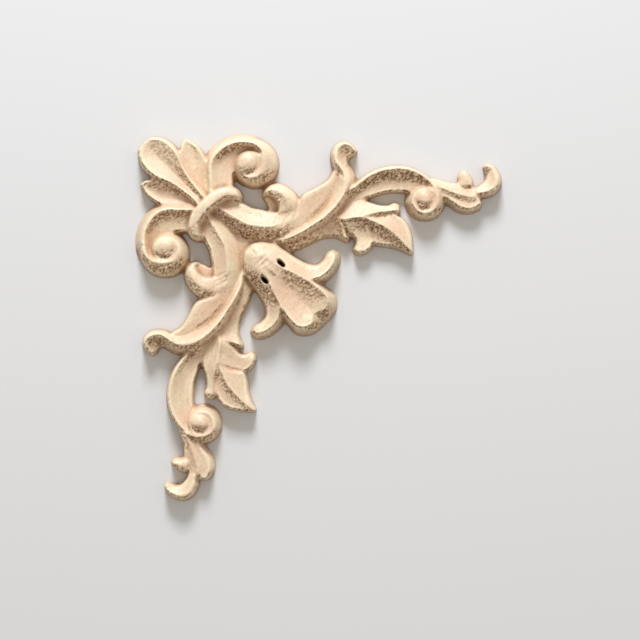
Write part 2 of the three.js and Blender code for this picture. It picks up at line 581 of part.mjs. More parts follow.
// The plug that bores one eyelet: an oval that narrows downward.
function eyeletPlug(mirrored) {
  const [du, dv] = eyelet.direction;
  const topHeight = drawnRelief + 1;
  const floorHeight = (woodUnderEyelet * drawnRelief) / reliefHeight;
  const count = 16;
  const ring = (height, size) => Array.from({ length: count }, (_, k) => {
    const angle = (k / count) * 2 * Math.PI;
    const along = (Math.cos(angle) * eyeletLength * size) / 2;
    const aside = (Math.sin(angle) * eyeletWidth * size) / 2;
    const u = eyelet.middle[0] + du * along - dv * aside;
    const v = eyelet.middle[1] + dv * along + du * aside;
    return place(mirrored ? [v, u] : [u, v], height);
  });
  const middle = (height) => place(mirrored ? [eyelet.middle[1], eyelet.middle[0]] : eyelet.middle, height);
  const [low, high] = [ring(floorHeight, 0.6), ring(topHeight, 1.1)];
  const triangles = [];
  for (let k = 0; k < count; k += 1) {
    const next = (k + 1) % count;
    triangles.push([low[k], high[k], high[next]], [low[k], high[next], low[next]]);
    triangles.push([middle(topHeight), high[next], high[k]], [middle(floorHeight), low[k], low[next]]);
  }
  return closedSolid(triangles);
}

// The slab of waste below the back.
function backSlab() {
  const reach = armSpan * 1.5;
  const box = new THREE.BoxGeometry(reach, reach, 2 * sawnAllowance).translate(0, 0, -sawnAllowance);
  const at = box.getAttribute('position');
  const corners = Array.from(box.index.array, (k) => [at.getX(k), at.getY(k), at.getZ(k)]);
  return closedSolid(corners.filter((_, k) => k % 3 === 0).map((_, k) => corners.slice(3 * k, 3 * k + 3)));
}

const wasm = await Module();
wasm.setup();

const pieces = limbs.flatMap((limb) => {
  const drawn = limbSolid(limb, false);
  return limb.paired === false ? [drawn] : [drawn, limbSolid(limb, true)];
});
const carved = pieces.reduce((whole, piece) => whole.add(piece))
  .subtract(backSlab())
  .subtract(eyeletPlug(false))
  .subtract(eyeletPlug(true));

const mesh = carved.getMesh();
const geometry = new THREE.BufferGeometry();
geometry.setAttribute('position', new THREE.BufferAttribute(mesh.vertProperties, 3));
geometry.setIndex(new THREE.BufferAttribute(mesh.triVerts, 1));
geometry.computeVertexNormals();

const group = new THREE.Group();
group.name = 'corner_onlay_part';
const onlay = new THREE.Mesh(geometry, wood);
onlay.name = 'corner_onlay';
group.add(onlay);

export default group;
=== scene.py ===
# Dresses the carved corner onlay: the same limbs as the solid, cut again as fine relief, in raw wood.
import math
from functools import partial

import bmesh
import bpy
import numpy as np
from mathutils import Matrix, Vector
from mathutils.bvhtree import BVHTree


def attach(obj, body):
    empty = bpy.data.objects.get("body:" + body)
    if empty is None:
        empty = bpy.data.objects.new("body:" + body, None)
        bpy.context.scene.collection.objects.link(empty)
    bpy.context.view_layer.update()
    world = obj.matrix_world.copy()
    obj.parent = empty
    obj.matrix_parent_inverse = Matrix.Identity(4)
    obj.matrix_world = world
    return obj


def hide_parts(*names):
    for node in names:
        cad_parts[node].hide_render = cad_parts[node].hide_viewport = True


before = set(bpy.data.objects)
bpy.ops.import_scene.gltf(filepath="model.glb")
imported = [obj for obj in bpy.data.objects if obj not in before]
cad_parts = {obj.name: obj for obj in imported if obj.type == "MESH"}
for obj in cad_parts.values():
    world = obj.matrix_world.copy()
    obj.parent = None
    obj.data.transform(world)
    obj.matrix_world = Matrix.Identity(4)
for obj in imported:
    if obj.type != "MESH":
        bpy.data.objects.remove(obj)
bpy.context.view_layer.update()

mm = 0.001

# The onlay, in millimetres.
onlay = {
    "span": 85.0,
    "relief": 8.0,
    "sample step": 0.3,        # how closely the limbs are followed
    "height step": 0.1,        # spacing of the relief map
    "mesh step": 0.168,        # spacing of the finished skin
    "cutter radius": 0.42,     # rounds every hollow
    "worn radius": 0.4,        # rounds every crest
    "softening": 0.09,         # blurs the relief map a little
    "fuzz depth": 0.34,
    "fuzz size": 0.5,
    "tool mark depth": 0.015,
    "seed": 4,
}

# The limbs were drawn at this span and relief, seen from straight above the middle.
drawing = {
    "span": 84.19,
    "relief": 8.05,
    "from": 425.0,
    "middle": (42.9, 43.1),
    "corner": (0.488, 0.488),
}
below = 1.0                    # the limbs run on this far below the back before it is planed
margin = 1.0                   # the relief map reaches this far past the onlay

# How far a side wall spreads for each millimetre that it drops. A limb's lean is one of these for all its
# walls, or four values for the left one, the right one and those at the root and the tip.
steep = 0.1
upright = 0.15
sloped = 0.3
rolled = 0.36


def disc(middle, ring, radius, count):
    # stations from a middle point to a round edge
    turns = [2 * math.pi * k / count for k in range(count)]
    return [[*middle, ring[0] + radius * math.cos(a), ring[1] + radius * math.sin(a)] for a in turns]


def sweep(outer, outerRadii, inner, innerRadii, start, end):
    # stations between two spirals, turned evenly from one angle to another
    rows = []
    for k, (outside, inside) in enumerate(zip(outerRadii, innerRadii)):
        angle = math.radians(start + (end - start) * k / (len(outerRadii) - 1))
        c, s = math.cos(angle), math.sin(angle)
        rows.append([
            outer[0] + outside * c, outer[1] + outside * s,
            inner[0] + inside * c, inner[1] + inside * s,
        ])
    return rows


voluteButton = [26.2, 7.0]
voluteRing = [26.9, 7.5]
voluteRingRadius = 3.0
voluteRoll = [27.4, 7.1]
voluteCrestRadii = [5.3, 4.6, 3.9, 3.2, 3.0, 3.0, 3.0, 3.0, 3.0, 3.0]
voluteRollRadii = [5.2, 5.2, 5.2, 5.3, 5.4, 5.5, 5.4, 5.1, 4.6, 4.1]
scrollButton = [66.9, 15.3]
scrollRing = [67.0, 15.7]
scrollRingRadius = 2.95
scrollRoll = [67.4, 15.8]
scrollCrestRadii = [3.9, 3.3, 2.95, 2.95, 2.95, 2.95, 2.95, 2.95, 2.95]
scrollRollRadii = [3.75, 3.8, 3.85, 3.9, 3.95, 3.95, 3.9, 3.8, 3.6]

# A limb lies between a left and a right edge. A station is a point of each edge, from root to tip, u to
# the right and v down from the outer corner. A section is a share of the way across, the height there
# and how far the surface bulges on the way to it; one value each, or one for every station. The stations
# of a closed limb go around a middle point. A limb that isn't paired lies on the corner's diagonal.
limbs = [
  {
    "name": "palmette middle leaf", "paired": False, "lean": upright,
    "stations": [
      [15.3, 17.0, 17.0, 15.3], [12.0, 14.1, 14.1, 12.0], [8.2, 11.6, 11.6, 8.2], [5.0, 10.2, 10.2, 5.0],
      [2.9, 8.5, 8.5, 2.9], [1.65, 6.6, 6.6, 1.65], [1.4, 4.6, 4.6, 1.4], [1.85, 3.1, 3.1, 1.85],
      [2.4, 2.4, 2.4, 2.4],
    ],
    "across": [
      [0, [6.5, 5.8, 5.5, 5.5, 5.4, 5.2, 5.1, 4.9, 4.8]],
      [0.5, [5.0, 4.2, 3.7, 3.6, 3.7, 4.1, 4.6, 4.8, 4.8], -0.12],
      [1, [6.5, 5.8, 5.5, 5.5, 5.4, 5.2, 5.1, 4.9, 4.8], -0.12],
    ],
  },
  {
    "name": "palmette side leaf", "lean": steep,
    "stations": [
      [15.5, 15.2, 17.2, 15.2], [13.6, 12.0, 16.6, 12.2], [12.0, 9.0, 16.4, 9.0], [10.95, 6.0, 16.4, 6.2],
      [10.9, 4.0, 15.3, 4.1], [11.2, 2.6, 13.8, 2.6], [12.0, 1.6, 12.0, 1.6],
    ],
    "across": [
      [0, [5, 4, 4, 4, 4, 4, 3.8]],
      [0.45, [4.5, 3.4, 3.1, 2.9, 3.0, 3.3, 3.8]],
      [1, [5, 4, 3.6, 3.6, 3.8, 4, 3.8], [-0.3, -0.3, -0.3, -0.3, -0.3, -0.2, 0]],
    ],
  },
  {
    "name": "volute band", "lean": [rolled, steep, steep, steep],
    "stations": [
      [17.4, 16.0, 23.0, 15.5], [17.7, 12.5, 22.8, 12.5], [17.6, 10.0, 22.8, 10.0], [17.6, 7.6, 23.2, 8.2],
      [18.5, 5.4, 23.8, 6.6], [20.3, 3.7, 24.5, 5.8], [22.5, 2.6, 25.3, 5.2], [25.0, 2.2, 26.3, 5.0],
      [27.4, 2.6, 27.5, 5.2], [29.1, 3.9, 28.6, 5.7], [29.9, 6.2, 29.5, 6.6],
    ],
    "across": [
      [0, [6, 6, 6, 6, 6.2, 6.3, 6.4, 6.5, 6.5, 6.4, 6.3]],
      [0.45, [4.2, 4.2, 4.1, 4, 3.9, 3.8, 3.8, 3.8, 4, 4.8, 6.2], -0.35],
      [1, [3.6, 3.6, 3.5, 3.4, 3.4, 3.4, 3.4, 3.4, 3.7, 4.6, 6.2], -0.1],
    ],
  },
  {
    "name": "volute roll", "lean": [0.2, steep, steep, steep],
    "stations": sweep(voluteRoll, voluteRollRadii, voluteRing, voluteCrestRadii, -110, 150),
    "across": [
      [0, [6.2, 5.6, 4.8, 4.1, 3.7, 3.5, 3.4, 3.4, 3.5, 3.8]],
      [1, [6.5, 6.5, 6.4, 6.4, 6.3, 6.3, 6.2, 6.2, 6, 5.4], [0, 0.1, 0.3, 0.5, 0.5, 0.5, 0.5, 0.5, 0.4, 0.2]],
    ],
  },
  {
    "name": "volute eye", "closed": True, "lean": sloped,
    "stations": disc(voluteButton, voluteRing, voluteRingRadius, 12),
    "across": [
      [0, 7],
      [[0.52, 0.5, 0.5, 0.55, 0.65, 0.75, 0.8, 0.85, 0.88, 0.85, 0.75, 0.6], 6.4, 0.12],
      [
        [0.74, 0.7, 0.68, 0.72, 0.8, 0.86, 0.9, 0.93, 0.94, 0.93, 0.88, 0.78],
        [5.7, 5.7, 5.7, 5.8, 5.9, 6, 6, 6, 6, 6, 5.9, 5.8],
      ],
      [1, [6.3, 6.3, 6.3, 6.2, 6.1, 6, 5.8, 5.8, 5.8, 5.8, 6, 6.2], 0.05],
    ],
  },
  {
    "name": "clasp", "paired": False, "lean": [0.12, 0.28, steep, steep],
    "stations": [
      [24.6, 14.5, 24.7, 15.0], [24.1, 13.7, 24.3, 15.1], [22.7, 12.75, 23.0, 14.95],
      [20.4, 12.85, 21.2, 14.95], [18.0, 13.9, 19.1, 16.2], [15.8, 15.8, 17.5, 17.5],
      [13.9, 18.0, 16.2, 19.1], [12.85, 20.4, 14.95, 21.2], [12.75, 22.7, 14.95, 23.0],
      [13.7, 24.1, 15.1, 24.3], [14.5, 24.6, 15.0, 24.7],
    ],
    "across": [
      [0, [4.8, 5.8, 6.4, 7, 7.3, 7.6, 7.3, 7, 6.4, 5.8, 4.8]],
      [1, [4.8, 5.8, 6.6, 7.2, 7.6, 7.8, 7.6, 7.2, 6.6, 5.8, 4.8], 0.35],
    ],
  },
  {
    "name": "stem and leaf blade", "lean": [upright, steep, steep, steep],
    "stations": [
      [21.0, 16.0, 17.5, 17.7], [22.8, 15.9, 20.5, 20.8], [25.2, 16.7, 23.0, 23.0], [27.0, 17.6, 25.6, 24.4],
      [29.0, 18.0, 28.8, 25.0], [31.2, 18.4, 32.2, 25.0], [34.2, 18.4, 35.6, 23.8], [37.6, 16.8, 38.7, 22.0],
      [39.3, 14.5, 41.3, 20.2], [41.4, 13.3, 43.4, 18.0], [43.8, 12.0, 45.2, 15.2], [45.4, 10.6, 46.8, 12.4],
      [46.2, 9.0, 47.9, 10.4],
    ],
    "across": [
      [0, [4.6, 4.7, 4.7, 4.6, 4.4, 4.2, 4.6, 5, 5, 5, 5, 5, 5]],
      [
        [0.5, 0.5, 0.5, 0.5, 0.5, 0.48, 0.42, 0.4, 0.4, 0.4, 0.4, 0.4, 0.4],
        [5.6, 5.9, 6.1, 6.2, 6.2, 6.1, 5.6, 5, 4.8, 4.7, 4.7, 4.7, 4.7],
        [-0.4, -0.5, -0.5, -0.45, -0.35, -0.2, 0, 0, 0, 0, 0, 0, 0],
      ],
      [
        1, [3, 3, 2.9, 2.8, 2.8, 3.2, 4, 4.3, 4.3, 4.3, 4.3, 4.4, 4.6],
        [0.5, 0.5, 0.5, 0.5, 0.5, 0.4, 0.2, 0, 0, 0, 0, 0, 0],
      ],
    ],
  },
  {
    "name": "leaf ridge", "lean": [steep, 0.32, steep, steep],
    "stations": [
      [31.6, 24.6, 31.8, 25.2], [34.0, 24.2, 34.6, 24.9], [37.0, 22.7, 37.8, 23.6], [40.2, 20.7, 41.4, 21.4],
      [42.8, 18.4, 44.4, 19.4], [44.8, 15.8, 46.8, 17.0], [46.5, 12.9, 48.8, 13.9], [47.3, 10.6, 49.8, 11.3],
      [46.8, 8.8, 49.5, 9.2], [46.2, 7.2, 48.6, 7.4], [46.0, 5.6, 47.2, 5.7], [46.0, 4.6, 46.6, 4.6],
    ],
    "across": [
      [0, [3, 3.8, 4.2, 4.3, 4.3, 4.4, 4.6, 5.2, 5.6, 5.8, 5.8, 5.6]],
      [
        [0.6, 0.6, 0.6, 0.6, 0.6, 0.6, 0.6, 0.52, 0.45, 0.42, 0.45, 0.5],
        [3.4, 4.6, 5.6, 6, 6.2, 6.2, 6.2, 6.3, 6.4, 6.4, 6.3, 6], 0.1,
      ],
      [1, [3.2, 4.8, 6, 6.5, 6.6, 6.6, 6.4, 5.6, 4.8, 4.2, 4.4, 5.2], 0.1],
    ],
  },
  {
    "name": "curl hollow", "lean": steep,
    "stations": [
      [30.0, 14.2, 31.6, 13.6], [30.4, 15.8, 33.0, 15.2], [31.2, 17.4, 33.7, 17.0], [31.6, 18.6, 34.0, 18.8],
    ],
    "across": [[0, 2.6], [1, 3, -0.3]],
  },
  {
    "name": "curl", "lean": [0.18, steep, steep, upright],
    "stations": [
      [37.6, 21.0, 33.6, 21.4], [37.9, 18.6, 33.4, 19.0], [37.9, 16.4, 33.5, 17.2], [37.0, 14.6, 33.1, 15.7],
      [35.8, 13.4, 32.5, 14.9], [34.4, 12.5, 31.9, 14.5], [32.9, 12.1, 31.4, 14.3], [31.4, 12.5, 31.0, 14.2],
      [30.4, 13.5, 30.6, 14.3], [30.1, 14.7, 30.2, 14.8],
    ],
    "across": [
      [0, [3.6, 4.4, 4.7, 4.8, 4.8, 4.8, 4.8, 4.8, 4.6, 4]],
      [0.5, [3.8, 5, 5.7, 6, 6.1, 6.1, 6, 5.8, 5.2, 4], 0.2],
      [1, [3.6, 4.7, 5, 5.2, 5.4, 5.4, 5.2, 5, 4.6, 4], 0.1],
    ],
  },
  {
    "name": "leaf hood", "lean": [upright, upright, steep, steep],
    "stations": [
      [46.5, 7.6, 49.1, 7.5], [46.1, 6.2, 49.0, 6.6], [46.1, 4.7, 49.2, 6.0], [46.6, 3.4, 49.5, 5.6],
      [47.6, 2.55, 49.8, 5.4], [48.9, 2.4, 50.0, 5.2], [50.1, 3.1, 50.4, 5.0], [51.1, 4.2, 50.9, 4.6],
    ],
    "across": [
      [0, [5.6, 5.6, 5.6, 5.5, 5.4, 5.2, 4.8, 4.4]],
      [[0.3, 0.25, 0.2, 0.15, 0.12, 0.12, 0.12, 0.3], [6.2, 6.2, 6.2, 6.1, 5.9, 5.6, 5, 4.4], 0.1],
      [1, [4, 3.7, 3.6, 3.6, 3.6, 3.6, 3.6, 3.8], [-0.2, -0.3, -0.4, -0.4, -0.4, -0.3, -0.2, 0]],
    ],
  },
  {
    "name": "under leaf", "lean": 0.2,
    "stations": [
      [32.5, 24.6, 33.2, 25.2], [35.0, 24.4, 35.6, 27.1], [38.0, 23.2, 38.2, 26.6], [41.0, 21.7, 41.4, 25.1],
      [43.6, 20.2, 44.2, 24.0], [45.9, 18.9, 47.0, 24.0], [47.4, 20.0, 49.2, 24.7],
    ],
    "across": [
      [0, [3, 3.6, 3.8, 3.8, 3.8, 4, 4.6]],
      [0.45, [2.8, 3.1, 3, 2.9, 2.9, 3.4, 4.6]],
      [1, [2.4, 2.1, 2, 2, 2.2, 2.8, 4.4]],
    ],
  },
  {
    "name": "spray upper lobe", "lean": steep,
    "stations": [
      [46.2, 18.6, 48.0, 20.2], [48.6, 17.5, 50.0, 20.0], [50.8, 16.3, 52.5, 19.8], [53.6, 16.0, 55.0, 19.4],
      [56.4, 16.8, 57.0, 18.9], [58.8, 16.9, 59.0, 18.7], [60.2, 16.4, 60.6, 18.6], [61.1, 16.7, 61.2, 18.3],
    ],
    "across": [
      [0, [3.4, 3.4, 3.4, 3.6, 3.8, 3.8, 3.8, 3.4]],
      [[0.9, 0.9, 0.85, 0.8, 0.75, 0.7, 0.7, 0.7], [5.4, 5.5, 5.5, 5.4, 5, 4.6, 4.3, 3.6], -0.25],
      [1, [5.4, 5.4, 5.2, 4.6, 3.8, 3.6, 3.4, 3.2]],
    ],
  },
  {
    "name": "spray tip leaf, upper half", "lean": steep,
    "stations": [
      [52.6, 18.6, 48.0, 19.6], [55.4, 18.7, 52.6, 19.6], [58.6, 18.9, 55.6, 20.5], [61.2, 19.5, 58.5, 22.1],
      [62.9, 21.0, 60.8, 24.2], [63.9, 23.6, 62.4, 26.0], [64.2, 27.9, 64.0, 27.9],
    ],
    "across": [
      [0, [3.4, 3.6, 3.8, 4, 4.2, 4.2, 3.6]],
      [1, [5.4, 5.6, 5.6, 5.5, 5.2, 4.8, 3.6], [-0.2, -0.3, -0.5, -0.6, -0.5, -0.3, 0]],
    ],
  },
  {
    "name": "spray tip leaf, lower half", "lean": upright,
    "stations": [
      [52.6, 19.6, 53.6, 21.0], [54.2, 20.0, 54.6, 23.0], [55.6, 20.5, 55.2, 25.0], [58.5, 22.1, 57.2, 25.9],
      [60.8, 24.2, 59.8, 26.2], [62.4, 26.0, 62.0, 26.9], [64.0, 27.9, 64.0, 27.9],
    ],
    "across": [
      [0, [5.6, 5.6, 5.6, 5.5, 5.2, 4.8, 3.6]],
      [0.8, [4.4, 3.8, 3.5, 3.3, 3.4, 3.7, 3.6], [-0.1, -0.2, -0.3, -0.3, -0.2, -0.1, 0]],
      [1, [4, 3.6, 3.5, 3.3, 3.4, 3.6, 3.6]],
    ],
  },
  {
    "name": "spray short lobe", "lean": upright,
    "stations": [
      [52.6, 19.6, 48.0, 19.6], [53.8, 21.0, 48.9, 21.6], [54.5, 22.8, 49.8, 23.1], [54.9, 24.6, 51.2, 24.6],
      [54.6, 26.2, 51.3, 26.0], [53.6, 27.3, 50.9, 27.0], [52.2, 27.9, 51.2, 27.7],
    ],
    "across": [
      [0, [5.6, 4.6, 3.7, 3.4, 3.6, 3.6, 3.4]],
      [0.5, [4.9, 4.2, 3.4, 3.2, 3.5, 3.7, 3.6], -0.1],
      [1, [5.4, 4.6, 3.8, 3.4, 3.4, 3.4, 3.4]],
    ],
  },
  {
    "name": "scroll arm", "lean": [upright, steep, steep, steep],
    "stations": [
      [47.6, 17.4, 46.4, 18.8], [49.2, 14.2, 48.6, 18.4], [51.6, 11.7, 51.0, 16.0], [54.7, 9.5, 54.2, 14.9],
      [58.0, 8.3, 58.0, 13.8], [61.4, 8.0, 61.2, 13.6], [64.4, 8.6, 63.8, 13.7], [67.2, 10.1, 65.2, 13.2],
      [69.2, 12.1, 67.0, 12.9], [70.0, 14.4, 69.0, 14.0],
    ],
    "across": [
      [0, [5, 5.4, 5.6, 5.6, 5.6, 5.6, 5.6, 5.6, 5.5, 5.4]],
      [0.66, [3.4, 3.2, 3, 3, 3, 3, 3.1, 3.4, 3.9, 5.2], -0.4],
      [1, [3.2, 3.1, 3, 3, 3, 3, 3, 3.2, 3.7, 5.2]],
    ],
  },
  {
    "name": "scroll roll", "lean": [0.2, steep, steep, steep],
    "stations": sweep(scrollRoll, scrollRollRadii, scrollRing, scrollCrestRadii, -60, 200),
    "across": [
      [0, [5.2, 4.4, 3.6, 3.2, 3, 3.2, 3.5, 3.9, 4.2]],
      [1, [5.5, 5.5, 5.4, 5.3, 5.3, 5.2, 5.2, 5.1, 5], [0, 0.1, 0.25, 0.3, 0.3, 0.3, 0.3, 0.25, 0.2]],
    ],
  },
  {
    "name": "scroll eye", "closed": True, "lean": sloped,
    "stations": disc(scrollButton, scrollRing, scrollRingRadius, 12),
    "across": [
      [0, 6],
      [[0.46, 0.45, 0.45, 0.45, 0.46, 0.48, 0.52, 0.6, 0.68, 0.68, 0.6, 0.5], 5.5, 0.12],
      [
        [0.66, 0.64, 0.63, 0.64, 0.66, 0.68, 0.72, 0.78, 0.84, 0.84, 0.78, 0.7],
        [4.7, 4.7, 4.7, 4.7, 4.8, 4.9, 5, 5.1, 5.1, 5, 4.9, 4.8],
      ],
      [1, [5.4, 5.4, 5.3, 5.3, 5.2, 5.2, 5.1, 5, 5, 5, 5.1, 5.3], 0.05],
    ],
  },
  {
    "name": "end leaf", "lean": [upright, 0.25, steep, upright],
    "stations": [
      [68.6, 10.6, 69.5, 13.8], [70.8, 11.2, 71.2, 14.8], [72.8, 11.7, 73.2, 16.0], [75.2, 11.9, 75.4, 17.4],
      [77.6, 12.7, 77.8, 17.6], [79.4, 12.6, 79.9, 16.6],
    ],
    "across": [
      [0, [3.6, 3.4, 3.2, 3.2, 3.2, 3.2]],
      [0.42, [4.8, 4.8, 4.8, 4.7, 4.6, 4.5], -0.1],
      [0.7, [4.4, 4.2, 4.1, 4, 4, 4.1]],
      [1, [4.2, 4.2, 4.3, 4.3, 4.2, 4]],
    ],
  },
  {
    "name": "end leaf tip", "lean": [steep, 0.22, steep, steep],
    "stations": [
      [78.6, 12.8, 78.9, 14.4], [80.0, 12.1, 81.6, 14.1], [81.2, 10.9, 83.4, 13.0], [81.4, 9.6, 84.2, 11.2],
      [81.1, 8.5, 83.7, 9.3], [81.0, 7.7, 82.7, 8.0], [81.4, 7.3, 82.0, 7.35],
    ],
    "across": [
      [0, [3.4, 3.4, 3.4, 3.4, 3.6, 4, 4]],
      [0.7, [4.6, 4.7, 4.7, 4.7, 4.4, 4.2, 4], -0.1],
      [1, [4, 4.2, 4.4, 4.4, 4.2, 4.1, 4]],
    ],
  },
  {
    "name": "end leaf bud", "lean": upright,
    "stations": [
      [75.1, 12.6, 77.8, 12.4], [75.2, 11.0, 77.9, 11.2], [75.3, 9.8, 77.3, 10.0], [75.8, 9.0, 76.5, 9.1],
    ],
    "across": [[0, 3.6], [0.5, [4.1, 4.3, 4.3, 3.9], 0.2], [1, 3.6, 0.1]],
  },
  {
    "name": "bell body", "lean": [upright, steep, 0.2, steep],
    "stations": [
      [26.4, 26.6, 26.5, 26.7], [27.4, 25.8, 27.7, 27.9], [29.4, 25.4, 29.0, 29.2], [31.6, 25.8, 30.4, 30.6],
      [33.4, 27.0, 31.8, 32.0], [35.2, 28.4, 33.2, 33.4], [36.6, 29.4, 34.6, 34.8],
    ],
    "across": [
      [0, [4.6, 5.2, 5.1, 5, 4.8, 4.6, 4.4]],
      [1, [4.8, 6.6, 7.4, 7.6, 7.4, 6.6, 5.4], [0, 0.35, 0.58, 0.65, 0.6, 0.4, 0.2]],
    ],
  },
  {
    "name": "bell side petal", "lean": [upright, 0.28, steep, 0.2],
    "stations": [
      [29.0, 25.6, 28.2, 29.4], [32.2, 25.8, 31.2, 30.0], [34.8, 27.4, 34.2, 31.3], [37.4, 29.2, 37.3, 32.5],
      [40.0, 30.5, 40.4, 33.7], [42.3, 30.7, 43.0, 33.2], [43.9, 29.5, 45.1, 31.5], [44.6, 28.3, 46.2, 29.5],
      [45.1, 27.7, 46.3, 28.2], [45.6, 27.5, 45.8, 27.5],
    ],
    "across": [
      [0, [5, 4.9, 4.7, 4.5, 4.3, 4.3, 4.3, 4.3, 4.3, 4.3]],
      [1, [7.4, 7.5, 7.2, 6.8, 6.6, 6.3, 5.8, 5.3, 4.8, 4.3], [0.9, 0.8, 0.4, 0, -0.2, -0.2, -0.1, 0, 0, 0]],
    ],
  },
  {
    "name": "bell middle petal", "lean": [0.2, steep, steep, 0.25],
    "stations": [
      [32.6, 30.0, 31.2, 31.4], [34.7, 31.1, 32.9, 33.1], [38.0, 32.6, 34.9, 35.1], [41.0, 34.4, 37.1, 37.3],
      [43.4, 36.2, 38.7, 38.9], [44.9, 38.2, 40.1, 40.3], [44.7, 40.1, 41.1, 41.3], [43.9, 41.2, 41.9, 41.6],
    ],
    "across": [
      [0, [7.4, 7.4, 7.2, 7, 6.9, 6.6, 6.1, 5.7]],
      [0.45, [7.4, 6.9, 6.2, 5.8, 5.6, 5.5, 5.5, 5.4], -0.1],
      [1, [7.4, 6.8, 5.6, 4.9, 4.6, 4.6, 4.9, 5.2], -0.1],
    ],
  },
  {
    "name": "bell lip", "lean": 0.32,
    "stations": [
      [45.2, 37.4, 44.4, 38.6], [45.7, 39.4, 44.2, 40.1], [45.2, 41.5, 42.9, 41.1], [43.3, 43.5, 41.0, 41.2],
    ],
    "across": [[0, [4.4, 4, 3.6, 3.4]], [1, [5.6, 5.4, 5.2, 5], 0.3]],
  },
  {
    "name": "web between the stems", "paired": False, "lean": steep,
    "stations": [
      [17.0, 17.2, 17.2, 17.0], [19.8, 21.0, 21.0, 19.8], [22.4, 25.4, 25.4, 22.4], [26.0, 29.4, 29.4, 26.0],
    ],
    "across": [[0, 3], [1, 3]],
  },
]

# A blind eyelet in the bell, an oval that stops above the back.
eyelet = {
    "middle": (34.1, 30.35),
    "direction": (0.73, 0.68),
    "length": 2.4,
    "width": 0.9,
    "wood under": 1.2,
    "floor": 0.7,              # the share of the oval that is flat at the bottom
    "wall": 22.0,              # how high its wall rises over a further whole share
}

# Veins and creases cut with a fine gouge: a path, how wide, how deep at each point of the path.
creases = [
    {"path": [(45.3, 14.6), (44.0, 17.0), (42.0, 19.0), (39.6, 21.0)], "width": 0.55,
     "depth": [0.2, 0.5, 0.5, 0.1]},
    {"path": [(38.3, 15.6), (37.9, 17.0), (37.4, 18.9), (36.2, 20.4)], "width": 0.5,
     "depth": [0.7, 0.5, 0.3, 0.0]},
    {"path": [(35.2, 19.8), (34.0, 21.2), (32.2, 22.2)], "width": 0.6, "depth": [0.1, 0.25, 0.0]},
    {"path": [(46.5, 7.9), (47.4, 9.2), (48.3, 10.6)], "width": 0.35, "depth": [0.3, 1.0, 0.2]},
    {"path": [(53.5, 20.0), (54.4, 22.0), (55.0, 24.8)], "width": 0.35, "depth": [0.2, 0.6, 0.4]},
    {"path": [(78.7, 14.3), (79.6, 14.7), (80.5, 15.4)], "width": 0.5, "depth": [0.1, 0.7, 1.2]},
    {"path": [(32.3, 21.2), (32.9, 20.0), (33.5, 18.6)], "width": 0.28, "depth": [0.1, 0.32, 0.05]},
    {"path": [(33.1, 21.4), (33.8, 20.2), (34.4, 18.8)], "width": 0.28, "depth": [0.1, 0.32, 0.05]},
    {"path": [(34.2, 21.3), (34.8, 20.3), (35.3, 19.3)], "width": 0.26, "depth": [0.1, 0.28, 0.05]},
    {"path": [(28.2, 30.7), (29.4, 29.5), (30.6, 28.3)], "width": 0.26, "depth": [0.05, 0.25, 0.05]},
    {"path": [(29.4, 31.0), (30.2, 30.2), (31.0, 29.4)], "width": 0.26, "depth": [0.05, 0.25, 0.05]},
]
creaseHeight = 5.0             # about how high the creases lie


def slopesOf(points, marks):
    # how fast each value changes at each mark, for a curve that runs through all of them
    rise = np.diff(points, axis=0) / np.diff(marks)[:, None]
    near, far = np.diff(marks)[:-1, None], np.diff(marks)[1:, None]
    inner = (rise[:-1] * far + rise[1:] * near) / (near + far)
    return np.vstack([1.5 * rise[:1] - 0.5 * inner[:1], inner, 1.5 * rise[-1:] - 0.5 * inner[-1:]])


def smoothCurve(points, marks, at, closed=False):
    points, marks = np.asarray(points, float), np.asarray(marks, float)
    if closed:                                   # the curve runs on past its last row to its first
        turn = marks[-1]
        marks = np.concatenate([[marks[-2] - turn], marks, [turn + marks[1]]])
        points = np.vstack([points[-1:], points, points[:2]])
    slope = slopesOf(points, marks)
    k = np.clip(np.searchsorted(marks, at) - 1, 0, len(marks) - 2)
    step = (marks[k + 1] - marks[k])[:, None]
    x = (at - marks[k])[:, None] / step
    return ((2 * x**3 - 3 * x**2 + 1) * points[k] + (x**3 - 2 * x**2 + x) * step * slope[k]
            + (3 * x**2 - 2 * x**3) * points[k + 1] + (x**3 - x**2) * step * slope[k + 1])


def chordMarks(path):
    # how far along the path each of its points lies
    return np.concatenate([[0], np.cumsum(np.hypot(*np.diff(path, axis=0).T))])


def unlean(uv, height):
    # what stands higher was drawn a little further out
    pull = 1 - np.asarray(height)[..., None] / drawing["from"]
    return drawing["middle"] + (uv - drawing["middle"]) * pull


def place(points):
    # from the drawing to the onlay: x to the right, y up, the middle of the square at the origin
    scale = onlay["span"] / drawing["span"]
    half = onlay["span"] / 2
    x = (points[..., 0] - drawing["corner"][0]) * scale - half
    y = half - (points[..., 1] - drawing["corner"][1]) * scale
    return np.stack([x, y, points[..., 2] * onlay["relief"] / drawing["relief"]], axis=-1)


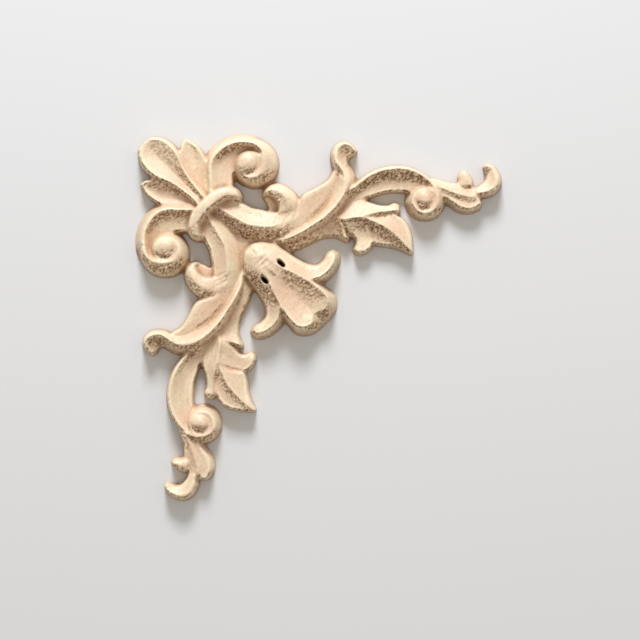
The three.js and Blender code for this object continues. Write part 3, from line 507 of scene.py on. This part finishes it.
def limbTop(limb):
    # the carved face of a limb: rows from root to tip, columns from its left edge to its right one
    stations = np.array(limb["stations"], float)
    count = len(stations)
    closed = limb.get("closed", False)
    lane = stations[:, 2:] if closed else (stations[:, :2] + stations[:, 2:]) / 2
    marks = chordMarks(np.vstack([lane, lane[:1]]) if closed else lane)
    rows = max(8, round(marks[-1] / onlay["sample step"]))
    at = np.linspace(0, marks[-1], rows + 1)[:rows if closed else None]
    edges = smoothCurve(stations, marks, at, closed)
    width = np.hypot(*(edges[:, 2:] - edges[:, :2]).T).max()
    sections = []
    for section in limb["across"]:
        share, height, bulge = [np.broadcast_to(value, count) for value in (*section, 0)[:3]]
        sections.append(smoothCurve(np.column_stack([share, height, bulge]), marks, at, closed))
    columns = []
    for k, (start, end) in enumerate(zip(sections, sections[1:])):
        steps = max(4, round(width * np.abs(end[:, 0] - start[:, 0]).max() / onlay["sample step"]))
        for s in range(1 if k else 0, steps + 1):
            x = s / steps
            share = start[:, 0] + (end[:, 0] - start[:, 0]) * x
            height = start[:, 1] + (end[:, 1] - start[:, 1]) * x + 4 * end[:, 2] * x * (1 - x)
            uv = edges[:, :2] + (edges[:, 2:] - edges[:, :2]) * share[:, None]
            columns.append(np.column_stack([unlean(uv, height), height]))
    return np.stack(columns, axis=1)


def limbWall(limb, top):
    # the walls of a limb, from the rim of its face down past the back
    lean = limb["lean"]
    left, right, start, end = lean if isinstance(lean, list) else [lean] * 4
    rows, columns = top.shape[:2]
    if limb.get("closed"):
        rim, leans = top[::-1, -1], np.full(rows, right)
    else:
        rim = np.concatenate([top[:, 0], top[-1, 1:], top[-2::-1, -1], top[0, -2:0:-1]])
        leans = np.repeat([left, end, right, start], [rows, columns - 1, rows - 1, columns - 2])
    closest = 1e-3
    apart = np.hypot(*(rim - np.roll(rim, 1, axis=0))[:, :2].T) > closest
    rim, leans = rim[apart], leans[apart]
    ahead = (np.roll(rim, -1, axis=0) - rim)[:, :2]
    ahead /= np.hypot(*ahead.T)[:, None]
    along = ahead + np.roll(ahead, 1, axis=0)
    nextRim = np.roll(rim, -1, axis=0)
    side = np.sign((rim[:, 0] * nextRim[:, 1] - nextRim[:, 0] * rim[:, 1]).sum())
    out = np.column_stack([along[:, 1], -along[:, 0]]) * side
    out /= np.maximum(np.hypot(*out.T), 1e-6)[:, None]
    foot = rim[:, :2] + out * (leans * (rim[:, 2] + below))[:, None]
    return np.stack([rim, np.column_stack([foot, np.full(len(rim), -below)])], axis=1)


def netFaces(shape, turn, offset):
    index = np.arange(shape[0] * shape[1]).reshape(shape) + offset
    if turn:
        index = np.vstack([index, index[:1]])
    return np.stack([index[:-1, :-1], index[1:, :-1], index[1:, 1:], index[:-1, 1:]], axis=-1).reshape(-1, 4)


def limbTree():
    nets, faces, offset = [], [], 0
    for limb in limbs:
        top = limbTop(limb)
        for net, turn in ((top, limb.get("closed", False)), (limbWall(limb, top), True)):
            for mirrored in ((False, True) if limb.get("paired", True) else (False,)):
                placed = place(net)
                if mirrored:                     # over the diagonal of the corner
                    placed = placed[..., [1, 0, 2]] * (-1, -1, 1)
                nets.append(placed.reshape(-1, 3))
                faces.append(netFaces(net.shape[:2], turn, offset))
                offset += net.shape[0] * net.shape[1]
    print("limbs followed:", len(limbs), "faces:", sum(map(len, faces)))
    return BVHTree.FromPolygons(np.vstack(nets).tolist(), np.vstack(faces).tolist())


def castRelief(tree, line):
    # how high the carving stands over each point of the plan; one half is the mirror of the other
    count = len(line)
    height = np.full((count, count), -below)
    down = Vector((0, 0, -1))
    high = onlay["relief"] + 10                  # the rays start well clear of the carving
    for i, x in enumerate(line.tolist()):
        for j, y in enumerate(line[:count - i].tolist()):
            spot = tree.ray_cast((x, y, high), down)[0]
            if spot:
                height[i, j] = height[count - 1 - j, count - 1 - i] = spot.z
    return height


def rollBall(height, radius, way):
    # way 1 lifts a ball's middle over the relief, way -1 lets it down again
    step = onlay["height step"]
    reach = int(radius / step)
    best = height
    for a in range(-reach, reach + 1):
        for b in range(-reach, reach + 1):
            square = radius**2 - (a * a + b * b) * step**2
            if square >= 0:
                moved = np.roll(height, (a, b), (0, 1)) + way * (math.sqrt(square) - radius)
                best = np.maximum(best, moved) if way > 0 else np.minimum(best, moved)
    return best


def blur(height, radius):
    step = onlay["height step"]
    reach = max(1, int(2.5 * radius / step))
    weights = np.exp(-0.5 * (np.arange(-reach, reach + 1) * step / radius) ** 2)
    weights /= weights.sum()
    for axis in (0, 1):
        height = sum(w * np.roll(height, k - reach, axis) for k, w in enumerate(weights))
    return height


def bothSides(points):
    return (points, -points[:, ::-1])


def cutCreases(height, line):
    # every crease is a soft groove on both halves
    step = onlay["height step"]
    for crease in creases:
        path = np.array(crease["path"], float)
        marks = chordMarks(path)
        at = np.arange(0, marks[-1], step)
        course = smoothCurve(np.column_stack([path, crease["depth"]]), marks, at)
        middle = place(np.column_stack([unlean(course[:, :2], np.full(len(at), creaseHeight)), at]))[:, :2]
        depth, width = np.maximum(course[:, 2], 0), crease["width"]
        reach = 3 * width
        for points in bothSides(middle):
            low = np.searchsorted(line, points.min(0) - reach)
            high = np.searchsorted(line, points.max(0) + reach)
            x, y = np.meshgrid(line[low[0]:high[0]], line[low[1]:high[1]], indexing="ij")
            away = (x[..., None] - points[:, 0]) ** 2 + (y[..., None] - points[:, 1]) ** 2
            cut = (depth * np.exp(-away / width**2)).max(-1)
            height[low[0]:high[0], low[1]:high[1]] -= cut
    return height


def boreEyelets(height, line):
    middle = place(np.array([[*eyelet["middle"], 0.0]]))[:, :2]
    x, y = np.meshgrid(line, line, indexing="ij")
    direction = np.array(eyelet["direction"]) * (1, -1)
    long, wide = eyelet["length"] / 2, eyelet["width"] / 2
    for point, way in ((middle[0], direction), (-middle[0][::-1], -direction[::-1])):
        along = (x - point[0]) * way[0] + (y - point[1]) * way[1]
        across = (x - point[0]) * way[1] - (y - point[1]) * way[0]
        oval = np.hypot(along / long, across / wide)
        wall = eyelet["wood under"] + np.maximum(oval - eyelet["floor"], 0) * eyelet["wall"]
        height = np.minimum(height, np.where(oval < 2 * eyelet["floor"], wall, np.inf))
    return height


def sampleMap(values, line, x, y):
    # the map's value between its points
    step = line[1] - line[0]
    i, j = (np.clip((a - line[0]) / step, 0, len(line) - 1.001) for a in (x, y))
    a, b = i.astype(int), j.astype(int)
    p, q = i - a, j - b
    return ((1 - p) * (1 - q) * values[a, b] + p * (1 - q) * values[a + 1, b]
            + (1 - p) * q * values[a, b + 1] + p * q * values[a + 1, b + 1])


def carveSkin(height, line):
    # a net over the plan, kept where the carving stands, its steep parts evened out
    inset, lowest = 0.3, -0.97 * below
    evening = (0.5, -0.53) * 3                   # shares in turn inward and outward, so nothing shrinks
    side = np.arange(line[0] + inset, line[-1] - inset, onlay["mesh step"])
    x, y = np.meshgrid(side, side, indexing="ij")
    points = np.stack([x, y, sampleMap(height, line, x, y)], axis=-1)
    z = points[..., 2]
    kept = np.maximum.reduce([z[:-1, :-1], z[1:, :-1], z[1:, 1:], z[:-1, 1:]]) > lowest
    used = np.zeros(z.shape, bool)
    for a in (0, 1):
        for b in (0, 1):
            used[a:len(side) - 1 + a, b:len(side) - 1 + b] |= kept
    for share in evening:
        total = np.zeros_like(points)
        count = np.zeros(z.shape)
        for shift in ((1, 0), (-1, 0), (0, 1), (0, -1)):
            near = np.roll(used, shift, (0, 1))
            total += np.where(near[..., None], np.roll(points, shift, (0, 1)), 0)
            count += near
        whole = used & (count == 4)
        mean = total / np.maximum(count, 1)[..., None]
        points = np.where(whole[..., None], points + share * (mean - points), points)
    index = np.full(z.shape, -1)
    index[used] = np.arange(used.sum())
    quads = np.stack([index[:-1, :-1], index[1:, :-1], index[1:, 1:], index[:-1, 1:]], axis=-1)[kept]
    mesh = bpy.data.meshes.new("corner_onlay_carved")
    mesh.from_pydata((points[used] * mm).tolist(), [], quads.tolist())
    piece = bpy.data.objects.new("corner_onlay_carved", mesh)
    bpy.context.scene.collection.objects.link(piece)
    return piece


# Where a mark on the wood begins and where it is full. Slopes are rise over run, depths in millimetres.
marking = {
    "torn side": (-0.08, -1.0),                  # the sides that fall away this way, from the key lamp, have torn fibres and painted shade
    "torn slope": (0.2, 0.8),
    "wall slope": (1.5, 3.0),                    # walls are torn less
    "smooth hollow": (0.3, 0.5),                 # and so are the hollows
    "hollow": (0, 1.2),
    "foot slope": (0.3, 1.0),                    # painted shade low down on walls that fall away that way
    "foot height": 4.5,
}


def ramp(values, start, end):
    return np.clip((values - start) / (end - start), 0, 1)


def markSurface(piece, height, line):
    # how torn, hollow and high each point is, for the fuzz and for the painted shade and painted highlight in
    # the wood's colour
    slopeBlur, smallBlur, wideBlur = 0.15, 0.2, 0.9
    uphillX, uphillY = (blur(rise, slopeBlur) for rise in np.gradient(height, line[1] - line[0]))
    away = -(uphillX * marking["torn side"][0] + uphillY * marking["torn side"][1])
    hollow = blur(height, wideBlur) - blur(height, smallBlur)
    lessOnWalls = 1 - 0.8 * ramp(np.hypot(uphillX, uphillY), *marking["wall slope"])
    lessInHollows = 1 - 0.7 * ramp(hollow, *marking["smooth hollow"])
    torn_and_shaded = ramp(away, *marking["torn slope"]) * lessOnWalls * lessInHollows
    low = ramp(-height, -marking["foot height"], 0)
    spots = np.zeros(len(piece.data.vertices) * 3)
    piece.data.vertices.foreach_get("co", spots)
    x, y = (spots.reshape(-1, 3)[:, :2] / mm).T
    for name, values in (
        ("torn_and_shaded", torn_and_shaded),
        ("hollow", ramp(hollow, *marking["hollow"])),
        ("crest", ramp(-hollow, *marking["hollow"])),
        ("foot", ramp(away, *marking["foot slope"]) * low),
    ):
        layer = piece.data.attributes.new(name, "FLOAT", "POINT")
        layer.data.foreach_set("value", sampleMap(values, line, x, y))


def link(tree, start, end):
    tree.links.new(start, end)


def node(tree, kind, label=None, **settings):
    made = tree.nodes.new(kind)
    if label:
        made.label = label
    for name, value in settings.items():
        setattr(made, name, value)
    return made


def calculate(tree, operation, first, second):
    made = node(tree, "ShaderNodeMath", operation=operation)
    for socket, value in zip(made.inputs, (first, second)):
        if isinstance(value, (int, float)):
            socket.default_value = value
        else:
            link(tree, value, socket)
    return made.outputs[0]


def fuzzTree():
    # lifts and drops the skin a little: torn fibres on some slopes, cutter ripple on the rest
    tree = bpy.data.node_groups.new("torn_fibres", "GeometryNodeTree")
    tree.interface.new_socket("Geometry", in_out="INPUT", socket_type="NodeSocketGeometry")
    for name in ("Fuzz depth", "Fuzz size", "Tool mark depth", "Seed"):
        tree.interface.new_socket(name, in_out="INPUT", socket_type="NodeSocketFloat")
    tree.interface.new_socket("Wood", in_out="INPUT", socket_type="NodeSocketMaterial")
    tree.interface.new_socket("Geometry", in_out="OUTPUT", socket_type="NodeSocketGeometry")
    given, done = node(tree, "NodeGroupInput"), node(tree, "NodeGroupOutput")
    position = node(tree, "GeometryNodeInputPosition")
    normal = node(tree, "GeometryNodeInputNormal")
    torn_and_shaded = node(tree, "GeometryNodeInputNamedAttribute", data_type="FLOAT")
    torn_and_shaded.inputs["Name"].default_value = "torn_and_shaded"

    def noise(size, detail, stretch):
        # stretched along the fibres
        turned = node(tree, "ShaderNodeVectorRotate", rotation_type="Z_AXIS")
        turned.inputs["Angle"].default_value = -math.radians(rawWood["grain turn"])
        link(tree, position.outputs["Position"], turned.inputs["Vector"])
        scaled = node(tree, "ShaderNodeVectorMath", operation="DIVIDE")
        link(tree, turned.outputs["Vector"], scaled.inputs[0])
        sizes = node(tree, "ShaderNodeVectorMath", operation="SCALE")
        sizes.inputs[0].default_value = (stretch, 1, 1)
        link(tree, size, sizes.inputs["Scale"])
        link(tree, sizes.outputs["Vector"], scaled.inputs[1])
        made = node(tree, "ShaderNodeTexNoise", noise_dimensions="4D")
        made.inputs["Scale"].default_value = 1
        made.inputs["Detail"].default_value = detail
        link(tree, scaled.outputs["Vector"], made.inputs["Vector"])
        link(tree, given.outputs["Seed"], made.inputs["W"])
        return made.outputs["Fac"]

    count = partial(calculate, tree)
    smoothShare = 0.05                           # how much fuzz is left where nothing is torn
    middle = 0.5                                 # a noise texture goes up and down around this
    fuzz = count("SUBTRACT", noise(given.outputs["Fuzz size"], detail=2, stretch=1.4), middle)
    roughness = count("ADD", count("MULTIPLY", torn_and_shaded.outputs["Attribute"], 1 - smoothShare), smoothShare)
    fuzz = count("MULTIPLY", count("MULTIPLY", fuzz, roughness), given.outputs["Fuzz depth"])
    markSize = count("MULTIPLY", given.outputs["Fuzz size"], 2.2)
    marks = count("SUBTRACT", noise(markSize, detail=1, stretch=3), middle)
    lift = count("ADD", fuzz, count("MULTIPLY", marks, given.outputs["Tool mark depth"]))
    offset = node(tree, "ShaderNodeVectorMath", operation="SCALE")
    link(tree, normal.outputs["Normal"], offset.inputs[0])
    link(tree, lift, offset.inputs["Scale"])
    moved = node(tree, "GeometryNodeSetPosition")
    link(tree, given.outputs["Geometry"], moved.inputs["Geometry"])
    link(tree, offset.outputs["Vector"], moved.inputs["Offset"])
    real = node(tree, "GeometryNodeRealizeInstances")
    link(tree, moved.outputs["Geometry"], real.inputs["Geometry"])
    finish = node(tree, "GeometryNodeSetMaterial")
    link(tree, real.outputs["Geometry"], finish.inputs["Geometry"])
    link(tree, given.outputs["Wood"], finish.inputs["Material"])
    link(tree, finish.outputs["Geometry"], done.inputs["Geometry"])
    return tree


def tearFibres(piece, wood):
    tree = fuzzTree()
    modifier = piece.modifiers.new("torn_fibres", "NODES")
    modifier.node_group = tree
    noiseSpan = 1 / 5                            # a noise texture keeps to about this much of its range
    values = {
        "Fuzz depth": onlay["fuzz depth"] * mm / noiseSpan,
        "Fuzz size": onlay["fuzz size"] * mm,
        "Tool mark depth": onlay["tool mark depth"] * mm / noiseSpan,
        "Seed": float(onlay["seed"]),
        "Wood": wood,
    }
    for socket in tree.interface.items_tree:
        if socket.in_out == "INPUT" and socket.name in values:
            modifier[socket.identifier] = values[socket.name]
    bpy.context.view_layer.update()
    seen = piece.evaluated_get(bpy.context.evaluated_depsgraph_get())
    mesh = bpy.data.meshes.new_from_object(seen)
    piece.modifiers.clear()
    piece.data = mesh


def planeBack(piece, backWood):
    # one flat cut at the back, closed with flat faces
    made = bmesh.new()
    made.from_mesh(piece.data)
    everything = made.verts[:] + made.edges[:] + made.faces[:]
    near, shortest = 0.0001 * mm, 0.002 * mm
    bmesh.ops.bisect_plane(
        made, geom=everything, dist=near, plane_co=(0, 0, 0), plane_no=(0, 0, 1), clear_inner=True)
    bmesh.ops.dissolve_degenerate(made, dist=shortest, edges=made.edges[:])
    rim = [edge for edge in made.edges if edge.is_boundary]
    for edge in rim:
        edge.smooth = False
        for corner in edge.verts:
            corner.co.z = 0
    filled = bmesh.ops.triangle_fill(made, use_beauty=True, use_dissolve=False, edges=rim, normal=(0, 0, -1))
    backs = [face for face in filled["geom"] if isinstance(face, bmesh.types.BMFace)]
    for face in made.faces:
        face.smooth = True
    piece.data.materials.append(backWood)
    for face in backs:
        face.material_index = 1
        face.smooth = False
    bmesh.ops.recalc_face_normals(made, faces=made.faces[:])
    gaps = sum(not edge.is_manifold for edge in made.edges)
    made.to_mesh(piece.data)
    made.free()
    triangles = sum(len(face.vertices) - 2 for face in piece.data.polygons)
    print("carved onlay:", triangles, "triangles,", gaps, "open edges")


# The finish: raw, unsanded wood, its fibres running across the corner's diagonal, with painted shade and
# painted highlight among its colours. Lengths in millimetres.
rawWood = {
    "cream": (0.81, 0.68, 0.45),
    "warm": (0.76, 0.53, 0.34),
    "rose": (0.77, 0.52, 0.37),
    # painted shade in hollows and on the torn sides away from the key lamp; also the tint of the pores
    "hollow": (0.63, 0.38, 0.22),
    # painted shade, darkest: deep creases, low walls and the gaps between torn fibres
    "painted_deep_shade": (0.24, 0.12, 0.05),
    "tip": (1.0, 0.84, 0.58),        # painted highlight on the crests and on the ends of torn fibres
    "grain turn": 45.0,              # degrees from the first arm
    "broad tone": (16, 7),           # a pattern's size along the fibres and across them
    "growth bands": (30, 2.2),
    "stains": (7, 4),
    "fibres": (3.5, 0.22),
    "pores": (1.1, 0.17),
    "torn fibres": (0.782, 0.46),
    "saw marks": (0.9, 40),
    "roughness": 0.45,
    "sheen": 0.85,
    "bump": 0.2,
}
sawnBack = dict(
    rawWood,
    cream=(0.76, 0.57, 0.38),
    warm=(0.66, 0.45, 0.28),
    roughness=0.78,
    sheen=0.3,
    bump=0.03,
)


def woodMaterial(name, finish, carved):
    material = bpy.data.materials.new(name)
    material.use_nodes = True
    tree = material.node_tree
    shader = tree.nodes["Principled BSDF"]
    position = node(tree, "ShaderNodeTexCoord").outputs["Object"]
    turned = node(tree, "ShaderNodeMapping", "along the fibres")
    turned.inputs["Rotation"].default_value = (0, 0, -math.radians(finish["grain turn"]))
    turned.inputs["Scale"].default_value = (1 / mm, 1 / mm, 1 / mm)
    link(tree, position, turned.inputs["Vector"])

    def noise(label, detail, roughness=0.5, distortion=0.0):
        length, width = finish[label]
        scaled = node(tree, "ShaderNodeMapping", label)
        scaled.inputs["Scale"].default_value = (1 / length, 1 / width, 1 / width)
        link(tree, turned.outputs["Vector"], scaled.inputs["Vector"])
        made = node(tree, "ShaderNodeTexNoise", label)
        made.inputs["Scale"].default_value = 1
        made.inputs["Detail"].default_value = detail
        made.inputs["Roughness"].default_value = roughness
        made.inputs["Distortion"].default_value = distortion
        link(tree, scaled.outputs["Vector"], made.inputs["Vector"])
        return made.outputs["Fac"]

    def remap(value, low, high, start=0.0, end=1.0):
        made = node(tree, "ShaderNodeMapRange")
        link(tree, value, made.inputs["Value"])
        for socket, amount in zip(("From Min", "From Max", "To Min", "To Max"), (low, high, start, end)):
            made.inputs[socket].default_value = amount
        return made.outputs["Result"]

    def mix(share, a, b):
        made = node(tree, "ShaderNodeMix", data_type="RGBA")
        link(tree, share, made.inputs["Factor"])
        for socket, value in (("A", a), ("B", b)):
            target = [i for i in made.inputs if i.name == socket and i.type == "RGBA"][0]
            if isinstance(value, tuple):
                target.default_value = (*value, 1)
            else:
                link(tree, value, target)
        return [o for o in made.outputs if o.type == "RGBA"][0]

    def surface(name):
        made = node(tree, "ShaderNodeAttribute", attribute_type="GEOMETRY")
        made.attribute_name = name
        return made.outputs["Fac"]

    # the tones of the board, then its fibres and pores
    count = partial(calculate, tree)
    clouds = remap(noise("broad tone", 3), 0.35, 0.68)
    stains = remap(noise("stains", 3, 0.6), 0.46, 0.64, 0, 0.55)
    bands = remap(noise("growth bands", 2, distortion=0.6), 0.4, 0.66)
    fibres = noise("fibres", 3, 0.6)
    pores = remap(noise("pores", 1), 0.63, 0.72)
    colour = mix(clouds, finish["cream"], finish["warm"])
    colour = mix(stains, colour, finish["rose"])
    colour = mix(count("MULTIPLY", bands, 0.28), colour, finish["warm"])
    colour = mix(remap(fibres, 0.45, 0.8, 0, 0.3), colour, finish["warm"])
    colour = mix(count("MULTIPLY", pores, 0.3), colour, finish["hollow"])
    height = count("ADD", count("MULTIPLY", fibres, 0.35), count("MULTIPLY", pores, -0.3))
    gloss = remap(fibres, 0.3, 0.7, finish["roughness"] + 0.1, finish["roughness"] - 0.06)
    if carved:
        torn_and_shaded, hollow, crest, foot = (surface(name) for name in ("torn_and_shaded", "hollow", "crest", "foot"))
        # painted shade on the torn sides away from the key lamp, in hollows and low on walls; painted
        # highlight on the crests
        shade = count("MAXIMUM", count("MULTIPLY", torn_and_shaded, 0.75), remap(hollow, 0.04, 0.45, 0, 0.6))
        colour = mix(shade, colour, finish["hollow"])
        colour = mix(remap(crest, 0.15, 0.6, 0, 0.5), colour, finish["tip"])
        colour = mix(remap(hollow, 0.3, 0.8, 0, 0.65), colour, finish["painted_deep_shade"])
        colour = mix(remap(foot, 0, 0.7, 0, 0.6), colour, finish["painted_deep_shade"])
        # torn fibres are rough and dull, with dark gaps of painted shade between pale ends of painted
        # highlight
        speckle = noise("torn fibres", 2, 0.6)
        gapShade = count("MULTIPLY", remap(speckle, 0.49, 0.61), remap(torn_and_shaded, 0, 0.6, 0.12, 1))
        tipHighlight = count("MULTIPLY", remap(speckle, 0.47, 0.36), remap(torn_and_shaded, 0, 0.6, 0.05, 0.9))
        colour = mix(tipHighlight, mix(gapShade, colour, finish["painted_deep_shade"]), finish["tip"])
        height = count("SUBTRACT", height, count("MULTIPLY", speckle, remap(torn_and_shaded, 0, 1, 0.12, 3)))
        gloss = count("MAXIMUM", gloss, remap(torn_and_shaded, 0.1, 0.5, 0.4, 0.9))
    else:
        saw = remap(noise("saw marks", 2), 0.4, 0.6)
        height = count("ADD", height, count("MULTIPLY", saw, 0.7))
    link(tree, colour, shader.inputs["Base Color"])
    link(tree, gloss, shader.inputs["Roughness"])
    shader.inputs["Specular IOR Level"].default_value = finish["sheen"]
    bump = node(tree, "ShaderNodeBump", "fibres and fuzz")
    bump.inputs["Distance"].default_value = finish["bump"] * mm
    link(tree, height, bump.inputs["Height"])
    link(tree, bump.outputs["Normal"], shader.inputs["Normal"])
    return material


def carveOnlay():
    reach = onlay["span"] / 2 + margin
    line = np.linspace(-reach, reach, round(2 * reach / onlay["height step"]) + 1)
    height = castRelief(limbTree(), line)
    print("relief map:", len(line), "by", len(line), "highest", round(float(height.max()), 2))
    height = cutCreases(height, line)
    cutter, worn = onlay["cutter radius"], onlay["worn radius"]
    height = rollBall(rollBall(height, cutter, 1), cutter, -1)
    height = rollBall(rollBall(height, worn, -1), worn, 1)
    height = boreEyelets(height, line)
    height = blur(height, onlay["softening"])
    piece = carveSkin(height, line)
    markSurface(piece, height, line)
    tearFibres(piece, woodMaterial("raw_wood_carved", rawWood, True))
    planeBack(piece, woodMaterial("raw_wood_back", sawnBack, False))
    return piece


carved = carveOnlay()
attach(carved, "root")
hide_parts("corner_onlay")

# The photograph looks straight down from this height and takes in a field this wide, in millimetres.
view = {"height": 429.1, "field": 148.44, "middle": (0.333, -0.565)}

# The pale floor, the sky and the lamps, in metres and watts.
studio = {
    "floor size": 3.0,
    "floor drop": 0.00005,
    "floor colour": (0.68, 0.675, 0.66),
    "floor roughness": 0.9,
    "sky": 0.54,
    "sky tint": (1, 0.96, 0.91),
}
lamps = {
    "key": {
        "power": 5.3, "size": 0.2, "toward": (-0.06, 1.0, 0.66), "distance": 0.7, "tint": (0.88, 0.92, 1.0),
    },
    "fill": {
        "power": 0.6, "size": 0.8, "toward": (0.7, -0.6, 1.3), "distance": 0.9, "tint": (1.0, 0.93, 0.84),
    },
}


def addFloor():
    mesh = bpy.data.meshes.new("floor")
    half, low = studio["floor size"] / 2, -studio["floor drop"]
    corners = [(-half, -half, low), (half, -half, low), (half, half, low), (-half, half, low)]
    mesh.from_pydata(corners, [], [(0, 1, 2, 3)])
    floor = bpy.data.objects.new("floor", mesh)
    bpy.context.scene.collection.objects.link(floor)
    paper = bpy.data.materials.new("pale_paper")
    paper.use_nodes = True
    shader = paper.node_tree.nodes["Principled BSDF"]
    shader.inputs["Base Color"].default_value = (*studio["floor colour"], 1)
    shader.inputs["Roughness"].default_value = studio["floor roughness"]
    mesh.materials.append(paper)


def addLight(name, power, size, toward, distance, tint):
    # an area lamp that shines on the middle of the onlay
    lamp = bpy.data.lights.new(name, "AREA")
    lamp.energy, lamp.size, lamp.color = power, size, tint
    made = bpy.data.objects.new(name, lamp)
    made.location = Vector(toward).normalized() * distance
    made.rotation_euler = made.location.to_track_quat("Z", "Y").to_euler()
    bpy.context.scene.collection.objects.link(made)


def addCamera():
    lens = bpy.data.cameras.new("camera")
    lens.lens = lens.sensor_width * view["height"] / view["field"]
    made = bpy.data.objects.new("camera", lens)
    made.location = (view["middle"][0] * mm, view["middle"][1] * mm, view["height"] * mm)
    bpy.context.scene.collection.objects.link(made)
    bpy.context.scene.camera = made


def addSky():
    sky = bpy.data.worlds.new("sky")
    sky.use_nodes = True
    backdrop = sky.node_tree.nodes["Background"]
    backdrop.inputs["Color"].default_value = (*studio["sky tint"], 1)
    backdrop.inputs["Strength"].default_value = studio["sky"]
    bpy.context.scene.world = sky


addFloor()
for lampName, lampFacts in lamps.items():
    addLight(lampName, **lampFacts)
addSky()
bpy.context.scene.view_settings.view_transform = "Standard"
addCamera()
print("studio set")
